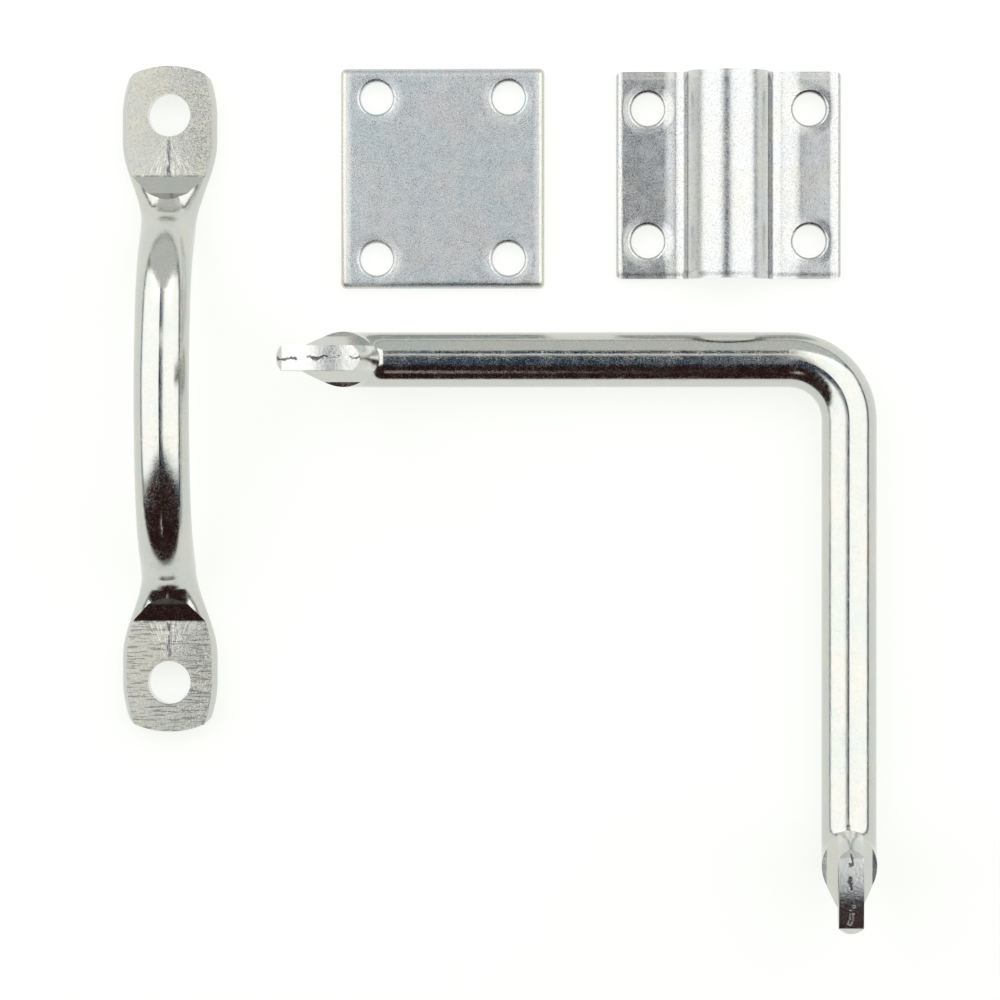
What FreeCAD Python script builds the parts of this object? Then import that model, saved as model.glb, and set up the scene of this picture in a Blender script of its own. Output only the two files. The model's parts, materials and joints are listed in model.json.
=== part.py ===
import FreeCAD, Part
import math
import os

# Sliding gate latch, laid out as its loose pieces: a bow-shaped strike, a flat back
# plate, a clamp plate with a half-round channel, and an L-shaped latch bar.
# Units are millimetres. +Z is up, and every piece lies on z = 0.

# Bar stock shared by the strike and the latch bar.
rod_diameter = 12.7
rod_radius = rod_diameter / 2

# Flattened feet: the same die presses all four of them.
foot_thickness = 5.6
foot_widest = 22.0
foot_end_width = 19.1
foot_flat_length = 25.6
foot_belly_start = 11.6
foot_belly_end = 17.3
foot_taper_end = 37.5
foot_blank_overrun = 2.0
foot_blank_steps = 18
foot_crown_radius = 20.5
foot_corner_run = 1.5
foot_corner_drop = 1.5
foot_hole_diameter = 9.9
foot_hole_from_end = 11.35

# Slopes the dies leave above a flat: run of the first slope, then both slope angles.
bar_pocket = (5.2, 25.0, 48.0)
strike_pocket = (3.9, 35.0, 55.0)

# Strike: screwed to the post by its two feet, with the bow standing clear between.
strike_hole_spacing = 131.1
bow_foot_bend_radius = 18.4
bow_shoulder_radius = 27.5
bow_ramp_length = 1.6
bow_crown_angle = 19.0
bow_clearance = 2.2

# Bracket plates: they face each other with the latch bar running between them.
plate_thickness = 2.8
plate_long_side = 50.8
plate_short_side = 47.0
clamp_width = 47.7
clamp_long_side = 51.8
plate_corner_radius = 1.2
plate_edge_round = 1.2
plate_hole_diameter = 7.5
plate_hole_long_spacing = 37.2
plate_hole_short_spacing = 30.5
plate_hole_round = 0.8
channel_clearance = 0.08
channel_root_radius = 2.8
channel_least_wall = 0.2

# Latch bar: two equal legs at a right angle, each ending in an upright foot.
leg_length = 114.8
elbow_radius = 13.9
upright_bend_radius = 9.3
upright_straight = 32.2
upright_lean = 7.5

# Layout on the table, before the whole set is centred.
strike_position = (-76.3, 23.4)
back_plate_position = (-13.2, 74.3)
clamp_plate_position = (52.8, 74.9)
bar_corner = (80.6, 32.4)

X_AXIS = FreeCAD.Vector(1, 0, 0)
Y_AXIS = FreeCAD.Vector(0, 1, 0)
Z_AXIS = FreeCAD.Vector(0, 0, 1)
ORIGIN = FreeCAD.Vector(0, 0, 0)


def vector(x, y, z):
    return FreeCAD.Vector(x, y, z)


def smooth_step(fraction):
    """Ease from 0 to 1 with level ends."""
    fraction = min(max(fraction, 0.0), 1.0)
    return 0.5 - 0.5 * math.cos(math.pi * fraction)


def crown_side_drop():
    """How far the crowned end falls back where its corners start."""
    corner_x = foot_end_width / 2 - foot_corner_run
    return foot_crown_radius - math.sqrt(foot_crown_radius**2 - corner_x**2)


def corner_side_drop():
    """How far the end's corners reach back along the foot's sides."""
    return crown_side_drop() + foot_corner_drop


def foot_half_width(distance):
    """Half the foot's width at a distance from its end, along the bar."""
    widest = foot_widest / 2
    if distance < foot_belly_start:
        narrowing = widest - foot_end_width / 2
        towards_end = (foot_belly_start - distance) / (foot_belly_start - corner_side_drop())
        return widest - narrowing * towards_end**2
    taper = (foot_taper_end - distance) / (foot_taper_end - foot_belly_end)
    return rod_radius + (widest - rod_radius) * smooth_step(taper)


def ellipse_wire(centre, half_width, wide_axis, normal):
    """Closed elliptical section, always starting on its wide axis."""
    tall_axis = normal.cross(wide_axis)
    if half_width - rod_radius < 0.0001:
        curve = Part.Circle(centre, normal, half_width)
        curve.XAxis = wide_axis
    else:
        wide_end = centre + wide_axis * half_width
        tall_end = centre + tall_axis * rod_radius
        curve = Part.Ellipse(wide_end, tall_end, centre)
    return Part.Wire([curve.toShape()])


def foot_blank(straight_length, bend_radius, wide_in_bend_plane):
    """Widened bar end in its own frame.

    The end's middle is the origin, +X runs up the bar, and the bar then bends towards
    +Y. The foot's wide direction is +Y or +Z. Returns the solid and its neck section's
    centre and direction.
    """
    wires = []
    step_length = (foot_taper_end + foot_blank_overrun) / foot_blank_steps
    for step in range(foot_blank_steps + 1):
        distance = step * step_length - foot_blank_overrun
        turn = max(distance - straight_length, 0.0) / bend_radius
        reach = min(distance, straight_length) + bend_radius * math.sin(turn)
        rise = bend_radius * (1 - math.cos(turn))
        centre = vector(reach, rise, 0)
        direction = vector(math.cos(turn), math.sin(turn), 0)
        wide_axis = Z_AXIS.cross(direction) if wide_in_bend_plane else Z_AXIS
        half_width = foot_half_width(distance)
        wires.append(ellipse_wire(centre, half_width, wide_axis, direction))
    return Part.makeLoft(wires, True, False), centre, direction


def prism(points, direction):
    """Solid swept in a straight line from a closed polygon."""
    wire = Part.makePolygon(points + [points[0]])
    return Part.Face(wire).extrude(direction)


def end_trim(wide_axis, thick_axis):
    """Everything of the foot's neighbourhood that its crowned outline takes away."""
    reach = foot_widest
    depth = 4 * rod_radius
    corner_x = foot_end_width / 2 - foot_corner_run
    crown_drop = crown_side_drop()
    side_drop = corner_side_drop()

    def point(along, across):
        return X_AXIS * along + wide_axis * across

    crown = Part.Arc(point(crown_drop, -corner_x), ORIGIN, point(crown_drop, corner_x))
    side = foot_end_width / 2
    lines = [
        (point(crown_drop, corner_x), point(side_drop, side)),
        (point(side_drop, side), point(side_drop, reach)),
        (point(side_drop, reach), point(-reach, reach)),
        (point(-reach, reach), point(-reach, -reach)),
        (point(-reach, -reach), point(side_drop, -reach)),
        (point(side_drop, -reach), point(side_drop, -side)),
        (point(side_drop, -side), point(crown_drop, -corner_x)),
    ]
    edges = [crown.toShape()]
    for first, last in lines:
        edges.append(Part.makeLine(first, last))
    outline = Part.Wire(Part.__sortEdges__(edges))
    outline.translate(thick_axis * (-depth / 2))
    return Part.Face(outline).extrude(thick_axis * depth)


def flat_pocket(thick_axis, wide_axis, pocket):
    """Material that one die face presses away above a foot's flat."""
    reach = 3 * rod_diameter
    first_run = pocket[0]
    first_slope = math.tan(math.radians(pocket[1]))
    second_slope = math.tan(math.radians(pocket[2]))
    level = foot_thickness / 2
    first_rise = level + first_run * first_slope
    second_run = (rod_diameter - first_rise) / second_slope

    def point(along, up):
        return X_AXIS * along + thick_axis * up - wide_axis * (reach / 2)

    far = foot_flat_length + first_run + second_run
    points = [
        point(-reach, level),
        point(foot_flat_length, level),
        point(foot_flat_length + first_run, first_rise),
        point(far, rod_diameter),
        point(-reach, rod_diameter),
    ]
    return prism(points, wide_axis * reach)


def foot_hole(thick_axis):
    centre = X_AXIS * foot_hole_from_end - thick_axis * rod_diameter
    return Part.makeCylinder(foot_hole_diameter / 2, 2 * rod_diameter, centre, thick_axis)


def pressed_foot(straight_length, bend_radius, wide_in_bend_plane, pocket):
    """Foot with its flats, crowned end and hole, in the frame of foot_blank."""
    blank, neck, direction = foot_blank(straight_length, bend_radius, wide_in_bend_plane)
    wide_axis = Y_AXIS if wide_in_bend_plane else Z_AXIS
    thick_axis = Z_AXIS if wide_in_bend_plane else Y_AXIS
    foot = blank.cut(end_trim(wide_axis, thick_axis))
    foot = foot.cut(flat_pocket(thick_axis, wide_axis, pocket))
    if wide_in_bend_plane:
        foot = foot.cut(flat_pocket(thick_axis * -1, wide_axis, pocket))
    foot = foot.cut(foot_hole(thick_axis))
    return foot, neck, direction


def rod_face(start, direction):
    circle = Part.Circle(start, direction, rod_radius).toShape()
    return Part.Face(Part.Wire([circle]))


def straight_rod(start, direction, length):
    """Straight round bar. Returns the solid and its far end."""
    return rod_face(start, direction).extrude(direction * length), start + direction * length


def bent_rod(start, direction, towards, radius, angle):
    """Round bar that leaves along direction and turns through angle (radians) to a side.

    Returns the solid, its far end, and the direction and side there.
    """
    centre = start + towards * radius
    turned = math.degrees(angle)
    solid = rod_face(start, direction).revolve(centre, direction.cross(towards), turned)
    end = centre - towards * (radius * math.cos(angle)) + direction * (radius * math.sin(angle))
    leaving = direction * math.cos(angle) + towards * math.sin(angle)
    side = towards * math.cos(angle) - direction * math.sin(angle)
    return solid, end, leaving, side


def frame_placement(origin, along, bend_side):
    """Placement that takes +X to along and +Y to bend_side."""
    third = along.cross(bend_side)
    matrix = FreeCAD.Matrix(
        along.x, bend_side.x, third.x, origin.x,
        along.y, bend_side.y, third.y, origin.y,
        along.z, bend_side.z, third.z, origin.z,
        0, 0, 0, 1,
    )
    return FreeCAD.Placement(matrix)


def join_bar(runs, feet):
    """One solid from a bar's round runs and its feet.

    The round runs share exact circles, so they are joined first and stay whole when a
    foot's tapering neck is added to them.
    """
    bar = runs[0].fuse(runs[1:])
    for foot in feet:
        bar = bar.fuse(foot)
    return bar


def bow_ramp_angle(half_span):
    """Slope (radians) of the bow's ramps, from the height that the bow has to reach.

    The bolted-up bar stands off the gate by the back plate's thickness, and the bow's
    underside clears its top by bow_clearance.
    """
    crown = math.radians(bow_crown_angle)
    crown_slope = math.tan(crown / 2)
    bar_top = plate_thickness + rod_diameter
    rise = bar_top + bow_clearance + rod_radius - foot_thickness / 2
    radii = bow_foot_bend_radius + bow_shoulder_radius
    level = bow_foot_bend_radius + bow_shoulder_radius * math.cos(crown)
    level += (half_span + bow_shoulder_radius * math.sin(crown)) * crown_slope
    sine_part = bow_ramp_length - radii * crown_slope
    cosine_part = radii + bow_ramp_length * crown_slope
    size = math.hypot(sine_part, cosine_part)
    return math.acos((level - rise) / size) - math.atan2(sine_part, cosine_part)


def make_strike():
    """Bow-shaped strike along Y, centred on its middle."""
    half_length = strike_hole_spacing / 2 + foot_hole_from_end
    mid_height = foot_thickness / 2
    foot, neck, neck_direction = pressed_foot(
        foot_flat_length, bow_foot_bend_radius, False, strike_pocket
    )
    half_span = half_length - foot_flat_length
    ramp = bow_ramp_angle(half_span)
    crown = math.radians(bow_crown_angle)
    neck_turn = (foot_taper_end - foot_flat_length) / bow_foot_bend_radius
    shoulder_run = bow_shoulder_radius * (math.sin(ramp) - math.sin(crown))
    bend_run = bow_foot_bend_radius * math.sin(ramp)
    crown_run = half_span - shoulder_run - bend_run - bow_ramp_length * math.cos(ramp)
    crown_radius = crown_run / math.sin(crown)

    point = vector(0, -half_length + neck.x, mid_height + neck.y)
    along = vector(0, neck_direction.x, neck_direction.y)
    inside = vector(0, -neck_direction.y, neck_direction.x)
    bends = [
        (1, bow_foot_bend_radius, ramp - neck_turn, bow_ramp_length),
        (-1, bow_shoulder_radius, ramp - crown, 0),
        (-1, crown_radius, 2 * crown, 0),
        (-1, bow_shoulder_radius, ramp - crown, bow_ramp_length),
        (1, bow_foot_bend_radius, ramp - neck_turn, 0),
    ]
    runs = []
    for turn_side, radius, angle, straight in bends:
        run, point, along, side = bent_rod(point, along, inside * turn_side, radius, angle)
        inside = side * turn_side
        runs.append(run)
        if straight:
            run, point = straight_rod(point, along, straight)
            runs.append(run)

    near_foot = foot.copy()
    near_foot.Placement = frame_placement(vector(0, -half_length, mid_height), Y_AXIS, Z_AXIS)
    far_foot = foot.copy()
    far_foot.Placement = frame_placement(vector(0, half_length, mid_height), Y_AXIS * -1, Z_AXIS)
    strike = join_bar(runs, [near_foot, far_foot])
    below = Part.makeBox(
        4 * foot_widest,
        4 * half_length,
        rod_diameter,
        vector(-2 * foot_widest, -2 * half_length, -rod_diameter),
    )
    return strike.cut(below)


def plate_outline(long_side, short_side):
    """Rounded rectangle blank with its long side along Y."""
    corner = vector(-short_side / 2, -long_side / 2, 0)
    plate = Part.makeBox(short_side, long_side, plate_thickness, corner)
    uprights = [edge for edge in plate.Edges if abs(edge.tangentAt(edge.FirstParameter).z) > 0.99]
    return plate.makeFillet(plate_corner_radius, uprights)


def hole_centres(long_spacing, short_spacing):
    """The four screw holes, long spacing along Y."""
    centres = []
    for side_x in (-1, 1):
        for side_y in (-1, 1):
            centres.append((side_x * short_spacing / 2, side_y * long_spacing / 2))
    return centres


def rounded_hole(centre_x, centre_y, height):
    """Punched hole: a straight barrel that opens out where the sheet rolled over."""
    radius = plate_hole_diameter / 2
    base = vector(centre_x, centre_y, -1)
    barrel = Part.makeCylinder(radius, height + 2, base)
    ring_centre = vector(radius + plate_hole_round, 0, height - plate_hole_round)
    corner = vector(radius, 0, height - plate_hole_round)
    lip = vector(radius + plate_hole_round, 0, height)
    angle = math.radians(135)
    mid = ring_centre + vector(math.cos(angle), 0, math.sin(angle)) * plate_hole_round
    edges = [
        Part.Arc(corner, mid, lip).toShape(),
        Part.makeLine(lip, vector(radius + plate_hole_round, 0, height + 1)),
        Part.makeLine(vector(radius + plate_hole_round, 0, height + 1), vector(0, 0, height + 1)),
        Part.makeLine(vector(0, 0, height + 1), vector(0, 0, height - plate_hole_round)),
        Part.makeLine(vector(0, 0, height - plate_hole_round), corner),
    ]
    funnel = Part.Face(Part.Wire(edges)).revolve(ORIGIN, Z_AXIS, 360)
    funnel.translate(vector(centre_x, centre_y, 0))
    return barrel.fuse(funnel)


def top_rim_edges(solid, height):
    """Edges of the outer rim at one height."""
    rim = []
    for edge in solid.Edges:
        box = edge.BoundBox
        if abs(box.ZMin - height) < 0.001 and abs(box.ZMax - height) < 0.001:
            rim.append(edge)
    return rim


def make_back_plate():
    """Flat plate against the gate."""
    plate = plate_outline(plate_long_side, plate_short_side)
    plate = plate.makeFillet(plate_edge_round, top_rim_edges(plate, plate_thickness))
    for centre_x, centre_y in hole_centres(plate_hole_long_spacing, plate_hole_short_spacing):
        plate = plate.cut(rounded_hole(centre_x, centre_y, plate_thickness))
    return plate


def channel_profile():
    """Section of the clamp plate, across the channel, as a closed face in XZ.

    The sheet keeps its thickness round both root bends, so the underside's radius is the
    root's plus the thickness. A slim bar leaves less wall, and the bends then tighten.
    """
    inner = rod_radius + channel_clearance
    outer = inner + plate_thickness
    top = plate_thickness
    half = clamp_long_side / 2
    root = min(channel_root_radius, inner - plate_thickness - channel_least_wall)
    mouth = root + plate_thickness
    slant = math.sqrt(0.5)
    edge_round = plate_edge_round

    def point(x, z):
        return vector(x, 0, z)

    def arc(first, middle, last):
        return Part.Arc(point(*first), point(*middle), point(*last)).toShape()

    def line(first, last):
        return Part.makeLine(point(*first), point(*last))

    edges = []
    for side in (1, -1):
        rounded = (side * (half - edge_round), top)
        edges.append(line((side * (inner + mouth), 0), (side * half, 0)))
        edges.append(line((side * half, 0), (side * half, top - edge_round)))
        edges.append(
            arc(
                (side * half, top - edge_round),
                (side * (half - edge_round * (1 - slant)), top - edge_round * (1 - slant)),
                rounded,
            )
        )
        edges.append(line(rounded, (side * (outer + root), top)))
        edges.append(
            arc(
                (side * (outer + root), top),
                (side * (outer + root * (1 - slant)), top + root * (1 - slant)),
                (side * outer, top + root),
            )
        )
        edges.append(line((side * outer, top + root), (side * outer, inner)))
        edges.append(line((side * inner, inner), (side * inner, mouth)))
        edges.append(
            arc(
                (side * inner, mouth),
                (side * (inner + mouth * (1 - slant)), mouth * (1 - slant)),
                (side * (inner + mouth), 0),
            )
        )
    edges.append(arc((-outer, inner), (0, inner + outer), (outer, inner)))
    edges.append(arc((-inner, inner), (0, 2 * inner), (inner, inner)))
    return Part.Face(Part.Wire(Part.__sortEdges__(edges)))


def make_clamp_plate():
    """Plate folded over the bar, with its channel along Y."""
    width = clamp_width
    profile = channel_profile()
    profile.translate(vector(0, -width / 2, 0))
    plate = profile.extrude(vector(0, width, 0))
    tall = 3 * rod_diameter
    blank = Part.makeBox(
        clamp_long_side + 2, width, tall, vector(-clamp_long_side / 2 - 1, -width / 2, 0)
    )
    corner_edges = []
    outline = Part.makeBox(
        clamp_long_side, width, tall, vector(-clamp_long_side / 2, -width / 2, 0)
    )
    for edge in outline.Edges:
        if abs(edge.tangentAt(edge.FirstParameter).z) > 0.99:
            corner_edges.append(edge)
    outline = outline.makeFillet(plate_corner_radius, corner_edges)
    plate = plate.cut(blank.cut(outline))
    for along, across in hole_centres(plate_hole_long_spacing, plate_hole_short_spacing):
        plate = plate.cut(rounded_hole(across, along, plate_thickness))
    return plate


def make_latch_bar():
    """L-shaped bar with its corner at the origin, legs along -X and -Y."""
    foot, neck, neck_direction = pressed_foot(
        upright_straight, upright_bend_radius, True, bar_pocket
    )
    lean = math.radians(upright_lean)
    bend = math.pi / 2 - lean
    neck_turn = (foot_taper_end - upright_straight) / upright_bend_radius
    bend_reach = upright_bend_radius * math.tan(bend / 2)

    runs = []
    feet = []
    for outward in (X_AXIS * -1, Y_AXIS * -1):
        upright = Z_AXIS * math.cos(lean) + outward * math.sin(lean)
        corner = outward * leg_length + Z_AXIS * rod_radius
        tip = corner + upright * (bend_reach + upright_straight)
        into = upright * -1
        inward = outward * -1
        bend_side = inward * math.cos(lean) + Z_AXIS * math.sin(lean)
        placement = frame_placement(tip, into, bend_side)
        placed = foot.copy()
        placed.Placement = placement
        feet.append(placed)

        start = placement.multVec(neck)
        along = placement.Rotation.multVec(neck_direction)
        across = placement.Rotation.multVec(vector(-neck_direction.y, neck_direction.x, 0))
        lower_bend = bent_rod(start, along, across, upright_bend_radius, bend - neck_turn)
        leg = straight_rod(lower_bend[1], inward, leg_length - elbow_radius - bend_reach)
        runs += [lower_bend[0], leg[0]]

    elbow_start = vector(-elbow_radius, 0, rod_radius)
    elbow = bent_rod(elbow_start, X_AXIS, Y_AXIS * -1, elbow_radius, math.pi / 2)
    runs.append(elbow[0])
    return join_bar(runs, feet)


def moved(shape, position):
    solid = shape.Solids[0] if len(shape.Solids) == 1 else shape
    solid.translate(vector(position[0], position[1], 0))
    return solid


def main():
    os.makedirs("parts", exist_ok=True)
    pieces = {
        "strike": moved(make_strike(), strike_position),
        "back_plate": moved(make_back_plate(), back_plate_position),
        "clamp_plate": moved(make_clamp_plate(), clamp_plate_position),
        "latch_bar": moved(make_latch_bar(), bar_corner),
    }
    whole = Part.makeCompound(list(pieces.values())).optimalBoundingBox(True, False)
    shift = vector(-whole.Center.x, -whole.Center.y, 0)
    for name, shape in pieces.items():
        shape.translate(shift)
        shape.exportStep("parts/" + name + ".step")
        print(name, shape.ShapeType, len(shape.Solids), shape.isValid())
    print("shift", round(shift.x, 4), round(shift.y, 4))


main()
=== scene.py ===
import json
import math

import bpy
from mathutils import Matrix, Vector


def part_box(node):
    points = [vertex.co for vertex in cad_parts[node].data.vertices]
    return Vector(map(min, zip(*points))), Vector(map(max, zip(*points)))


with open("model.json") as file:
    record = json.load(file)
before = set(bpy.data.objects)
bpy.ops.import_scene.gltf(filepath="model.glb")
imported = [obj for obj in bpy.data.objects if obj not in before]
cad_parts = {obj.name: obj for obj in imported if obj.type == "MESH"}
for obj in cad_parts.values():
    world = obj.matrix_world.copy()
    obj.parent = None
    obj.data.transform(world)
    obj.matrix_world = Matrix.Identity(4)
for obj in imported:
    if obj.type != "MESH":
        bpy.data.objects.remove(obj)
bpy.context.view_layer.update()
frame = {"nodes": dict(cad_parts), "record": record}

MM = 0.001


# ---------------------------------------------------------------- places on the part

def mount(name):
    return next(m for m in frame["record"]["mounts"] if m["name"] == name)


def mount_place(name):
    return Vector(mount(name)["pos_m"])


strike_middle = mount_place("strike_screws")
strike_half_spacing = mount("strike_screws")["dims"]["spacing_y_mm"] / 2 * MM
bolt_foot = mount_place("bolt_foot_hole")
handle_foot = mount_place("handle_foot_hole")
hole_radius = mount("bolt_foot_hole")["dims"]["r_mm"] * MM
foot_half_thickness = mount("bolt_foot_hole")["dims"]["length_mm"] / 2 * MM
back_low, back_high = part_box("back_plate")
clamp_low, clamp_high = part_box("clamp_plate")

# How far each foot's flat runs from its hole towards the bar, and to its cropped end.
FLAT_INWARD = 14.25 * MM
FLAT_OUTWARD = 11.5 * MM


# ---------------------------------------------------------------- finishes

# Zinc plate, the same on every piece.
CLOUD_SIZE = 9 * MM
SWELL_SIZE = 5 * MM
SWELL_DEPTH = 0.04 * MM
DARK_CRYSTAL = (0.30, 0.33, 0.38)
SPARKLE_SCALE = 0.8
PATCH_SIZE = 3 * MM
PATCH_SHIFT = 0.30

# Noise levels between which crystals go from glossy to matte. Higher levels leave fewer matte.
USUAL_MATTE = (0.44, 0.62)
SPARSE_MATTE = (0.53, 0.62)

# Marks on the pieces, and painted shade in the strike's crease, along its flats' ends and in
# the bar's fold line, and a painted highlight tint on the back plate's rims.
SPECK_COLOUR = (0.12, 0.12, 0.14)
# Dark colour for the strike's marks, and for the painted shade in its crease and along its
# flats' ends.
STRIKE_MARK_AND_SHADE_COLOUR = (0.16, 0.17, 0.18)
LIGHT_RAY_COLOUR = (0.93, 0.93, 0.88)
BAR_MARK_COLOUR = (0.22, 0.23, 0.24)
# Painted shade for the fold line on the latch bar's cropped ends.
FOLD_SHADE_COLOUR = (0.07, 0.06, 0.06)
SMEAR_COLOUR = (0.70, 0.70, 0.70)
# Tint painted along the back plate's rolled rims, so the highlight that falls there reads warm.
RIM_HIGHLIGHT_TINT = (0.64, 0.635, 0.59)

# Rims of the sheets and of their holes, rolled over by the punch.
ROLLED_EDGE = 2.7 * MM
ROLLED_DROP = 0.19 * MM
ROLLED_END = 2.0 * MM
END_DROP = 0.26 * MM
DISHED_WIDTH = 2.6 * MM
HOLE_DROP = 0.16 * MM

# Sockets of a Mix node that mixes colours.
MIX_FACTOR, MIX_FIRST, MIX_SECOND, MIX_RESULT = 0, 6, 7, 2


class Graph:
    """Small helper that adds and joins shader nodes. Inputs are numbers, colours or sockets."""

    def __init__(self, name):
        self.material = bpy.data.materials.new(name)
        self.material.use_nodes = True
        self.tree = self.material.node_tree
        self.shader = self.tree.nodes["Principled BSDF"]
        self.place = self.node("ShaderNodeTexCoord").outputs["Object"]
        split = self.node("ShaderNodeSeparateXYZ")
        self.join(self.place, split.inputs[0])
        self.x, self.y = split.outputs[:2]

    def node(self, kind, **settings):
        made = self.tree.nodes.new(kind)
        for key, value in settings.items():
            setattr(made, key, value)
        return made

    def join(self, source, target):
        if isinstance(source, (int, float)):
            target.default_value = source
        elif isinstance(source, tuple):
            target.default_value = (*source, 1)
        else:
            self.tree.links.new(source, target)

    def math(self, operation, *values):
        made = self.node("ShaderNodeMath", operation=operation)
        for value, target in zip(values, made.inputs):
            self.join(value, target)
        return made.outputs[0]

    def times(self, *values):
        result = values[0]
        for value in values[1:]:
            result = self.math("MULTIPLY", result, value)
        return result

    def step(self, value, start, end, low=0.0, high=1.0):
        """Ease from low to high while value goes from start to end."""
        made = self.node("ShaderNodeMapRange", interpolation_type="SMOOTHSTEP")
        for given, target in zip((value, start, end, low, high), made.inputs):
            self.join(given, target)
        return made.outputs[0]

    def near(self, value, half_width, softness):
        """1 where value is within half_width of 0, easing to 0 over softness."""
        distance = self.math("ABSOLUTE", value)
        return self.step(distance, half_width, half_width + softness, low=1, high=0)

    def noise(self, size, detail, roughness, stretch=(1, 1, 1), place=None):
        """Noise between 0 and 1 with blobs of about the given size."""
        mapping = self.node("ShaderNodeMapping")
        mapping.inputs["Scale"].default_value = stretch
        self.join(place or self.place, mapping.inputs["Vector"])
        made = self.node("ShaderNodeTexNoise")
        made.inputs["Scale"].default_value = 1 / size
        made.inputs["Detail"].default_value = detail
        made.inputs["Roughness"].default_value = roughness
        self.join(mapping.outputs["Vector"], made.inputs["Vector"])
        return made.outputs["Fac"]

    def wander(self, value, reach, blob_size):
        """Value pushed up and down by as much as half of reach, in blobs of the given size."""
        wobble = self.math("SUBTRACT", self.noise(blob_size, detail=4, roughness=0.7), 0.5)
        return self.math("MULTIPLY_ADD", wobble, reach, value)

    def mix(self, factor, first, second):
        made = self.node("ShaderNodeMix", data_type="RGBA")
        for value, index in ((factor, MIX_FACTOR), (first, MIX_FIRST), (second, MIX_SECOND)):
            self.join(value, made.inputs[index])
        return made.outputs[MIX_RESULT]

    def bump(self, height, depth, after=None):
        """Height between 0 and 1 raises the surface by depth metres."""
        made = self.node("ShaderNodeBump")
        made.inputs["Strength"].default_value = 1.0
        made.inputs["Distance"].default_value = depth
        self.join(height, made.inputs["Height"])
        if after is not None:
            self.join(after, made.inputs["Normal"])
        return made.outputs["Normal"]

    def zinc(self, tints, gloss, grain_size, grain_depth, speckle, matte=USUAL_MATTE):
        """Zinc plate: cloudy tint, uneven gloss, crystalline grain. Returns colour, normal."""
        shader = self.shader
        shader.inputs["Metallic"].default_value = 1.0
        cloud = self.step(self.noise(CLOUD_SIZE, detail=3, roughness=0.6), 0.35, 0.65)
        colour = self.mix(cloud, *tints)
        crystals = self.noise(grain_size, detail=3, roughness=0.9)
        dark_crystals = self.step(crystals, 0.36, 0.50, low=speckle, high=0)
        colour = self.mix(dark_crystals, colour, DARK_CRYSTAL)
        # Matte crystals among glossy ones make the plating sparkle.
        sparkle = self.noise(
            grain_size * SPARKLE_SCALE, detail=3, roughness=0.9, stretch=(1.0, 0.9, 1.1)
        )
        patchy_sparkle = self.wander(sparkle, PATCH_SHIFT, PATCH_SIZE)
        self.join(self.step(patchy_sparkle, *matte, *gloss), shader.inputs["Roughness"])
        swell = self.bump(self.noise(SWELL_SIZE, detail=1, roughness=0.5), SWELL_DEPTH)
        return colour, self.bump(crystals, grain_depth, swell)

    def finish(self, colour, normal):
        self.join(colour, self.shader.inputs["Base Color"])
        self.join(normal, self.shader.inputs["Normal"])
        return self.material


def bright_bar():
    """Round bar as drawn and plated: glossy, with a fine grain and a few specks."""
    graph = Graph("bright_bar")
    colour, normal = graph.zinc(
        tints=((0.58, 0.60, 0.57), (0.62, 0.61, 0.56)),
        gloss=(0.06, 0.34),
        grain_size=0.30 * MM,
        grain_depth=0.012 * MM,
        speckle=0.22,
        matte=SPARSE_MATTE,
    )
    speck_strength = 0.6
    drawing_depth = 0.003 * MM
    specks = graph.step(graph.noise(1.1 * MM, detail=4, roughness=0.75), 0.70, 0.74)
    colour = graph.mix(graph.times(specks, speck_strength), colour, SPECK_COLOUR)
    drawn = graph.noise(0.5 * MM, detail=1, roughness=0.5, stretch=(0.04, 0.04, 1))
    return graph.finish(colour, graph.bump(drawn, drawing_depth, normal))


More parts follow.
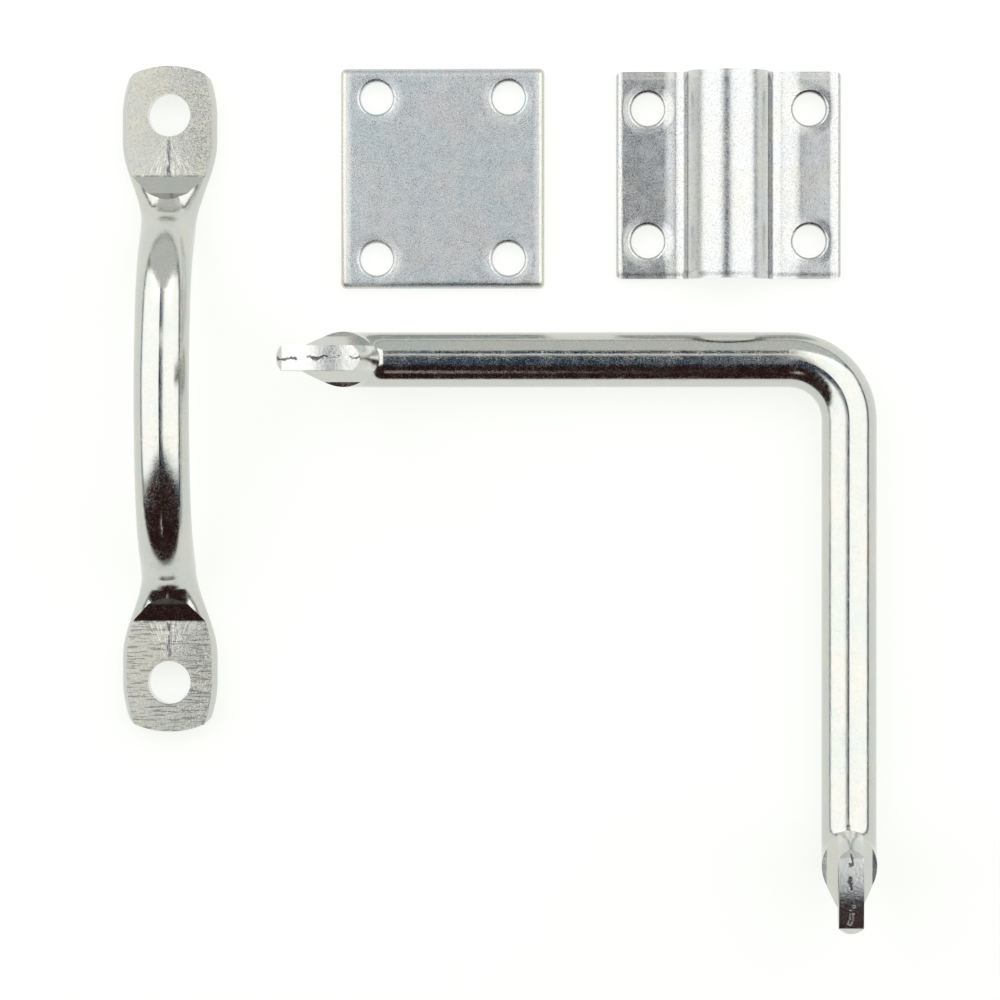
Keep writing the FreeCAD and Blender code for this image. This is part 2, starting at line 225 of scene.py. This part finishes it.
def pressed_strike():
    """Flats that the die left on the strike: matte, with a crease and fanned scratches, and
    painted shade in the crease and at the flat's end.
    """
    graph = Graph("pressed_strike")
    colour, normal = graph.zinc(
        tints=((0.73, 0.715, 0.61), (0.69, 0.69, 0.625)),
        gloss=(0.34, 0.42),
        grain_size=0.36 * MM,
        grain_depth=0.050 * MM,
        speckle=0.60,
    )
    across = graph.math("SUBTRACT", graph.x, strike_middle.x)
    along = graph.math("SUBTRACT", graph.y, strike_middle.y)
    # Distance from the middle of a foot's hole towards the bow.
    inward = graph.math("SUBTRACT", strike_half_spacing, graph.math("ABSOLUTE", along))
    # 1 on the flat between the hole and the bow, fading out at both ends.
    between = graph.times(
        graph.step(inward, hole_radius, hole_radius + 1.5 * MM),
        graph.step(inward, FLAT_INWARD - 1.2 * MM, FLAT_INWARD, low=1, high=0.5),
    )

    # Painted shade in a crease down the middle of the flat and along a line at its end, both
    # broken up.
    blotches = graph.noise(1.3 * MM, detail=3, roughness=0.6)
    wandering = graph.wander(across, reach=1.6 * MM, blob_size=2.2 * MM)
    crease_line = graph.near(wandering, half_width=0.24 * MM, softness=0.32 * MM)
    crease = graph.times(crease_line, between, graph.step(blotches, 0.30, 0.46))
    flat_end_shade_strength = 0.8
    from_flat_end = graph.math("SUBTRACT", inward, FLAT_INWARD)
    flat_end_line = graph.near(from_flat_end, half_width=0.15 * MM, softness=0.3 * MM)
    flat_end_shade = graph.times(flat_end_line, graph.step(blotches, 0.38, 0.55), flat_end_shade_strength)

    # Scratches that fan out from a point just inside the hole's rim.
    fan_inset = 1.0 * MM
    ray_size = 0.035
    ray_drift = 12.0
    light_strength, dark_strength = 0.7, 0.5
    from_point = graph.math("SUBTRACT", inward, hole_radius - fan_inset)
    angle = graph.math("ARCTAN2", across, from_point)
    spread = graph.node("ShaderNodeCombineXYZ")
    graph.join(angle, spread.inputs[0])
    graph.join(graph.times(inward, ray_drift), spread.inputs[1])
    rays = graph.noise(ray_size, detail=3, roughness=0.6, place=spread.outputs[0])
    fan = graph.times(graph.near(angle, half_width=0.15, softness=0.75), between)
    light_rays = graph.times(graph.step(rays, 0.50, 0.62), fan, light_strength)
    dark_rays = graph.times(graph.step(rays, 0.44, 0.34), fan, dark_strength)

    # Lines across the foot at -Y only, and pits that thicken towards +X.
    die_strength = 0.55
    near_hand = graph.step(along, -20 * MM, 0, low=1, high=0)
    lines = graph.noise(0.42 * MM, detail=2, roughness=0.6, stretch=(0.10, 1, 1))
    die_lines = graph.times(graph.step(lines, 0.46, 0.38), near_hand, die_strength)
    right_side = graph.step(across, -9 * MM, 7 * MM, low=0.15, high=0.85)
    pitting = graph.noise(0.30 * MM, detail=3, roughness=0.9)
    pits = graph.times(graph.step(pitting, 0.47, 0.60), right_side)

    ray_depth = 0.03 * MM
    groove_depth = 0.05 * MM
    # Die lines, pits and dark scratches are marks. The crease and the flat's end get painted
    # shade in the same colour.
    for amount in (die_lines, pits, dark_rays, crease, flat_end_shade):
        colour = graph.mix(amount, colour, STRIKE_MARK_AND_SHADE_COLOUR)
    colour = graph.mix(light_rays, colour, LIGHT_RAY_COLOUR)
    normal = graph.bump(graph.math("SUBTRACT", light_rays, dark_rays), ray_depth, normal)
    normal = graph.bump(graph.math("ADD", die_lines, crease), -groove_depth, normal)
    return graph.finish(colour, normal)


def pressed_bar():
    """Flats of the latch bar's feet, scored lightly by the die."""
    graph = Graph("pressed_bar")
    colour, normal = graph.zinc(
        tints=((0.66, 0.65, 0.59), (0.62, 0.63, 0.60)),
        gloss=(0.32, 0.40),
        grain_size=0.42 * MM,
        grain_depth=0.040 * MM,
        speckle=0.35,
    )
    score_depth = 0.02 * MM
    lines = graph.noise(0.42 * MM, detail=2, roughness=0.6, stretch=(1, 1, 0.12))
    scored = graph.step(lines, 0.40, 0.32, low=0, high=0.5)
    colour = graph.mix(scored, colour, BAR_MARK_COLOUR)
    return graph.finish(colour, graph.bump(scored, -score_depth, normal))


def cropped_end(name, foot, axis):
    """Foot's cropped end, where the bar's two halves folded together along a fold line darkened
    with painted shade.
    """
    graph = Graph(name)
    colour, normal = graph.zinc(
        tints=((0.70, 0.70, 0.67), (0.62, 0.63, 0.62)),
        gloss=(0.13, 0.24),
        grain_size=0.45 * MM,
        grain_depth=0.035 * MM,
        speckle=0.25,
    )
    fold_shade_strength = 0.9
    fold_depth = 0.15 * MM
    rough_depth = 0.09 * MM
    across = graph.math("SUBTRACT", (graph.x, graph.y)[axis], foot[axis])
    wandering = graph.wander(across, reach=5.0 * MM, blob_size=3.5 * MM)
    broken = graph.step(graph.noise(2.6 * MM, detail=2, roughness=0.5), 0.44, 0.52)
    fold_line = graph.near(wandering, half_width=0.15 * MM, softness=0.35 * MM)
    fold = graph.times(fold_line, broken)
    rough = graph.noise(0.8 * MM, detail=4, roughness=0.7)
    # Painted shade darkens the fold line, which the bump below also sinks.
    colour = graph.mix(graph.times(fold, fold_shade_strength), colour, FOLD_SHADE_COLOUR)
    normal = graph.bump(rough, rough_depth, normal)
    return graph.finish(colour, graph.bump(fold, -fold_depth, normal))


def rolled_rim(graph, coordinate, low, high, width):
    """0 at both rims of a sheet, easing to 1 over width."""
    rise = graph.step(coordinate, low, low + width)
    fall = graph.step(coordinate, high - width, high, low=1, high=0)
    return graph.math("MINIMUM", rise, fall)


def dished_holes(graph, mount_name):
    """1 on the sheet, easing to 0 at the rim of each punched hole."""
    middle = mount_place(mount_name)
    sizes = mount(mount_name)["dims"]
    across = graph.math("ABSOLUTE", graph.math("SUBTRACT", graph.x, middle.x))
    along = graph.math("ABSOLUTE", graph.math("SUBTRACT", graph.y, middle.y))
    from_x = graph.math("SUBTRACT", across, sizes["spacing_x_mm"] / 2 * MM)
    from_y = graph.math("SUBTRACT", along, sizes["spacing_y_mm"] / 2 * MM)
    squares = graph.math("ADD", graph.times(from_x, from_x), graph.times(from_y, from_y))
    distance = graph.math("SQRT", squares)
    rim = sizes["hole_r_mm"] * MM
    return graph.step(distance, rim, rim + DISHED_WIDTH)


def plain_plate():
    """Back plate: blue-grey, sparkling grain, with edges rolled over by the punch."""
    graph = Graph("plain_plate")
    colour, normal = graph.zinc(
        tints=((0.60, 0.66, 0.67), (0.665, 0.665, 0.655)),
        gloss=(0.20, 0.44),
        grain_size=0.32 * MM,
        grain_depth=0.036 * MM,
        speckle=0.75,
    )
    rolled = rolled_rim(graph, graph.x, back_low.x, back_high.x, ROLLED_EDGE)
    ends = rolled_rim(graph, graph.y, back_low.y, back_high.y, ROLLED_END)
    streaks = graph.noise(14 * MM, detail=2, roughness=0.5, stretch=(1.0, 0.35, 1))
    smear = graph.step(streaks, 0.58, 0.66, low=0, high=0.2)
    colour = graph.mix(smear, colour, SMEAR_COLOUR)
    # Painted highlight tint: the rolled rims take a warmer colour where their highlight falls.
    colour = graph.mix(graph.step(rolled, 0.2, 0.98, low=1, high=0), colour, RIM_HIGHLIGHT_TINT)
    normal = graph.bump(dished_holes(graph, "back_plate_screws"), HOLE_DROP, normal)
    normal = graph.bump(ends, END_DROP, normal)
    return graph.finish(colour, graph.bump(rolled, ROLLED_DROP, normal))


def folded_plate():
    """Clamp plate: brighter than the back plate, its flanges sprung a little by the fold."""
    graph = Graph("folded_plate")
    colour, normal = graph.zinc(
        tints=((0.64, 0.65, 0.65), (0.66, 0.655, 0.62)),
        gloss=(0.10, 0.34),
        grain_size=0.32 * MM,
        grain_depth=0.026 * MM,
        speckle=0.70,
    )
    left, right = clamp_low.x, clamp_high.x
    # Where each slope across the plate starts and ends, and its rise in millimetres.
    slopes = (
        (left, left + 1.8 * MM, 0.20),
        (left + 10.6 * MM, left + 14.6 * MM, 0.34),
        (right - 14.8 * MM, right - 9.2 * MM, -0.55),
        (right - 11.0 * MM, right + 1.0 * MM, -0.25),
        (right - 2.6 * MM, right, -0.28),
    )
    height = 0.0
    for start, end, rise in slopes:
        slope = graph.step(graph.x, start, end, low=0, high=rise)
        height = graph.math("ADD", slope, height)
    normal = graph.bump(dished_holes(graph, "clamp_plate_screws"), HOLE_DROP, normal)
    ends = rolled_rim(graph, graph.y, clamp_low.y, clamp_high.y, ROLLED_END)
    normal = graph.bump(ends, END_DROP, normal)
    return graph.finish(colour, graph.bump(height, MM, normal))


# ---------------------------------------------------------------- materials on the pieces

bar_zinc = bright_bar()
looks = {
    "strike": [bar_zinc, pressed_strike()],
    "latch_bar": [
        bar_zinc,
        pressed_bar(),
        cropped_end("cropped_bolt_end", bolt_foot, 1),
        cropped_end("cropped_handle_end", handle_foot, 0),
    ],
    "back_plate": [plain_plate()],
    "clamp_plate": [folded_plate()],
}

# Places in the lists above.
ROUND_SLOT, PRESSED_SLOT, BOLT_END_SLOT, HANDLE_END_SLOT = range(4)

# How squarely a face looks out of a flat, and how far upwards a cropped end's face looks.
FLAT_FACING = 0.98
END_FACING = 0.6
FLAT_TOLERANCE = 0.05 * MM


def strike_look(centre, normal):
    level = abs(centre.z - strike_middle.z) < FLAT_TOLERANCE
    return PRESSED_SLOT if level and normal.z > FLAT_FACING else ROUND_SLOT


def bar_look(centre, normal):
    for end_slot, foot, axis in (
        (BOLT_END_SLOT, bolt_foot, 1),
        (HANDLE_END_SLOT, handle_foot, 0),
    ):
        away = centre - foot
        outside = abs(away[axis]) > foot_half_thickness + FLAT_TOLERANCE
        if away.z < -FLAT_INWARD or outside:
            continue
        if abs(normal[axis]) > FLAT_FACING:
            return PRESSED_SLOT
        if away.z > 0.5 * FLAT_OUTWARD and normal.z > END_FACING:
            return end_slot
    return ROUND_SLOT


choosers = {"strike": strike_look, "latch_bar": bar_look}
for name, node in frame["nodes"].items():
    node.data.materials.clear()
    for material in looks[name]:
        node.data.materials.append(material)
    if name in choosers:
        for face in node.data.polygons:
            face.material_index = choosers[name](face.center, face.normal)


# ---------------------------------------------------------------- stage

# Metres from here on, unless MM says otherwise.
CAMERA_HEIGHT = 1.389

# The two softboxes leave a dark gap between them at the camera's height.
GAP_CENTRE = -0.04
GAP_HALF = 0.21
SOFTBOX_TOP = 1.085
SOFTBOX_BOTTOM = -0.43
SOFTBOX_REACH = 1.4
SOFTBOX_FOOT = {-1: 0.17, 1: 0.23}
SOFTBOX_RADIANCE = 1.6
LAMP_COLOUR = (1.0, 0.985, 0.955)

# Upright panel beyond the set.
WALL_HALF_WIDTH = 1.2
WALL_Y = 1.15
WALL_BOTTOM = 0.06
WALL_TOP = 1.45
WALL_COLOUR = (0.97, 1.0, 0.98)
WALL_STRENGTH = 0.72

# Level panel across the gap.
BRIDGE_START = 0.50
BRIDGE_END = 0.62
BRIDGE_STRENGTH = 1.4

# Narrow level panel on the near side.
WINDOW_LEFT = -0.31
WINDOW_WIDTH = 0.07
WINDOW_NEAR = -1.5
WINDOW_LENGTH = 0.8
WINDOW_COLOUR = (1.0, 0.95, 0.92)
WINDOW_STRENGTH = 2.2

FLOOR_HALF_WIDTH = 3
FLOOR_DROP = 0.0002
FLOOR_COLOUR = (0.26, 0.26, 0.255)
FLOOR_ROUGHNESS = 0.9
FLOOR_GLOW_COLOUR = (0.98, 1.0, 0.97)
FLOOR_GLOW = 0.80

# Dark room around the set: maroon towards the near side, navy everywhere else.
ROOM_NEAR_COLOUR = (0.030, 0.012, 0.012)
ROOM_COLOUR = (0.022, 0.045, 0.080)
ROOM_BLEND = 0.12
ROOM_SHIFT = 0.44


def glow(shader, colour, strength):
    """Makes a surface glow, without a sheen of its own."""
    shader.inputs["Specular IOR Level"].default_value = 0
    shader.inputs["Emission Color"].default_value = (*colour, 1)
    shader.inputs["Emission Strength"].default_value = strength


def emitter(name, corners, colour, strength):
    """Flat glowing panel."""
    mesh = bpy.data.meshes.new(name)
    mesh.from_pydata(corners, [], [(0, 1, 2, 3)])
    panel = bpy.data.objects.new(name, mesh)
    bpy.context.scene.collection.objects.link(panel)
    material = bpy.data.materials.new(name)
    material.use_nodes = True
    shader = material.node_tree.nodes["Principled BSDF"]
    shader.inputs["Base Color"].default_value = (0, 0, 0, 1)
    glow(shader, colour, strength)
    mesh.materials.append(material)


def softbox(name, side):
    """Tall studio softbox leaning over the set from one side."""
    light = bpy.data.lights.new(name, "AREA")
    light.shape = "RECTANGLE"
    inner = Vector((GAP_CENTRE + side * GAP_HALF, 0, CAMERA_HEIGHT))
    outer = Vector((side * SOFTBOX_REACH, 0, SOFTBOX_FOOT[side]))
    light.size = (outer - inner).length
    light.size_y = SOFTBOX_TOP - SOFTBOX_BOTTOM
    light.color = LAMP_COLOUR
    light.energy = SOFTBOX_RADIANCE * math.pi * light.size * light.size_y
    holder = bpy.data.objects.new(name, light)
    bpy.context.scene.collection.objects.link(holder)
    middle = (inner + outer) / 2
    middle.y = (SOFTBOX_TOP + SOFTBOX_BOTTOM) / 2
    holder.location = middle
    across = (outer - inner).normalized()
    # A lamp shines along its own -Z, so +Z points away from the set.
    turn = across if side > 0 else -across
    holder.rotation_euler = (0, math.atan2(-turn.z, turn.x), 0)


softbox("softbox_left", -1)
softbox("softbox_right", 1)
emitter(
    "wall_back",
    [
        (-WALL_HALF_WIDTH, WALL_Y, WALL_BOTTOM),
        (WALL_HALF_WIDTH, WALL_Y, WALL_BOTTOM),
        (WALL_HALF_WIDTH, WALL_Y, WALL_TOP),
        (-WALL_HALF_WIDTH, WALL_Y, WALL_TOP),
    ],
    WALL_COLOUR,
    WALL_STRENGTH,
)
emitter(
    "bridge_light",
    [
        (GAP_CENTRE - GAP_HALF, BRIDGE_START, CAMERA_HEIGHT),
        (GAP_CENTRE - GAP_HALF, BRIDGE_END, CAMERA_HEIGHT),
        (GAP_CENTRE + GAP_HALF, BRIDGE_END, CAMERA_HEIGHT),
        (GAP_CENTRE + GAP_HALF, BRIDGE_START, CAMERA_HEIGHT),
    ],
    LAMP_COLOUR,
    BRIDGE_STRENGTH,
)
emitter(
    "window",
    [
        (WINDOW_LEFT, WINDOW_NEAR, CAMERA_HEIGHT),
        (WINDOW_LEFT + WINDOW_WIDTH, WINDOW_NEAR, CAMERA_HEIGHT),
        (WINDOW_LEFT + WINDOW_WIDTH, WINDOW_NEAR - WINDOW_LENGTH, CAMERA_HEIGHT),
        (WINDOW_LEFT, WINDOW_NEAR - WINDOW_LENGTH, CAMERA_HEIGHT),
    ],
    WINDOW_COLOUR,
    WINDOW_STRENGTH,
)

floor_corners = [
    (-FLOOR_HALF_WIDTH, -FLOOR_HALF_WIDTH, 0),
    (FLOOR_HALF_WIDTH, -FLOOR_HALF_WIDTH, 0),
    (FLOOR_HALF_WIDTH, FLOOR_HALF_WIDTH, 0),
    (-FLOOR_HALF_WIDTH, FLOOR_HALF_WIDTH, 0),
]
floor_mesh = bpy.data.meshes.new("floor")
floor_mesh.from_pydata(floor_corners, [], [(0, 1, 2, 3)])
floor = bpy.data.objects.new("floor", floor_mesh)
floor.location.z = -FLOOR_DROP
bpy.context.scene.collection.objects.link(floor)
floor_paint = bpy.data.materials.new("floor_paint")
floor_paint.use_nodes = True
floor_shader = floor_paint.node_tree.nodes["Principled BSDF"]
floor_shader.inputs["Base Color"].default_value = (*FLOOR_COLOUR, 1)
floor_shader.inputs["Roughness"].default_value = FLOOR_ROUGHNESS
glow(floor_shader, FLOOR_GLOW_COLOUR, FLOOR_GLOW)
floor_mesh.materials.append(floor_paint)

world = bpy.data.worlds.new("studio_dark")
bpy.context.scene.world = world
world.use_nodes = True
room_tree = world.node_tree
backdrop = room_tree.nodes["Background"]
where = room_tree.nodes.new("ShaderNodeTexCoord")
split = room_tree.nodes.new("ShaderNodeSeparateXYZ")
room_tree.links.new(where.outputs["Generated"], split.inputs["Vector"])
shifted = room_tree.nodes.new("ShaderNodeMath")
shifted.operation = "ADD"
shifted.inputs[1].default_value = ROOM_SHIFT
room_tree.links.new(split.outputs["Y"], shifted.inputs[0])
tint = room_tree.nodes.new("ShaderNodeValToRGB")
near_stop, room_stop = tint.color_ramp.elements
near_stop.position = 0.0
near_stop.color = (*ROOM_NEAR_COLOUR, 1)
room_stop.position = ROOM_BLEND
room_stop.color = (*ROOM_COLOUR, 1)
room_tree.links.new(shifted.outputs[0], tint.inputs["Fac"])
room_tree.links.new(tint.outputs["Color"], backdrop.inputs["Color"])
backdrop.inputs["Strength"].default_value = 1.0


# ---------------------------------------------------------------- camera

CAMERA_PLACE = Vector((59.0, 13.99, CAMERA_HEIGHT / MM)) * MM
CAMERA_TARGET = Vector((0.18, -1.51, 0)) * MM
SENSOR_WIDTH_MM = 36
LENS_MM = 216.2
CLIP_END = 20

camera_data = bpy.data.cameras.new("camera")
camera_data.sensor_width = SENSOR_WIDTH_MM
camera_data.lens = LENS_MM
camera_data.clip_end = CLIP_END
camera = bpy.data.objects.new("camera", camera_data)
bpy.context.scene.collection.objects.link(camera)
camera.location = CAMERA_PLACE
back = (camera.location - CAMERA_TARGET).normalized()
right = Vector((0, 1, 0)).cross(back).normalized()
facing = Matrix((right, back.cross(right), back)).transposed().to_quaternion()
camera.matrix_world = Matrix.LocRotScale(camera.location, facing, None)
bpy.context.scene.camera = camera
bpy.context.scene.view_settings.view_transform = "Standard"
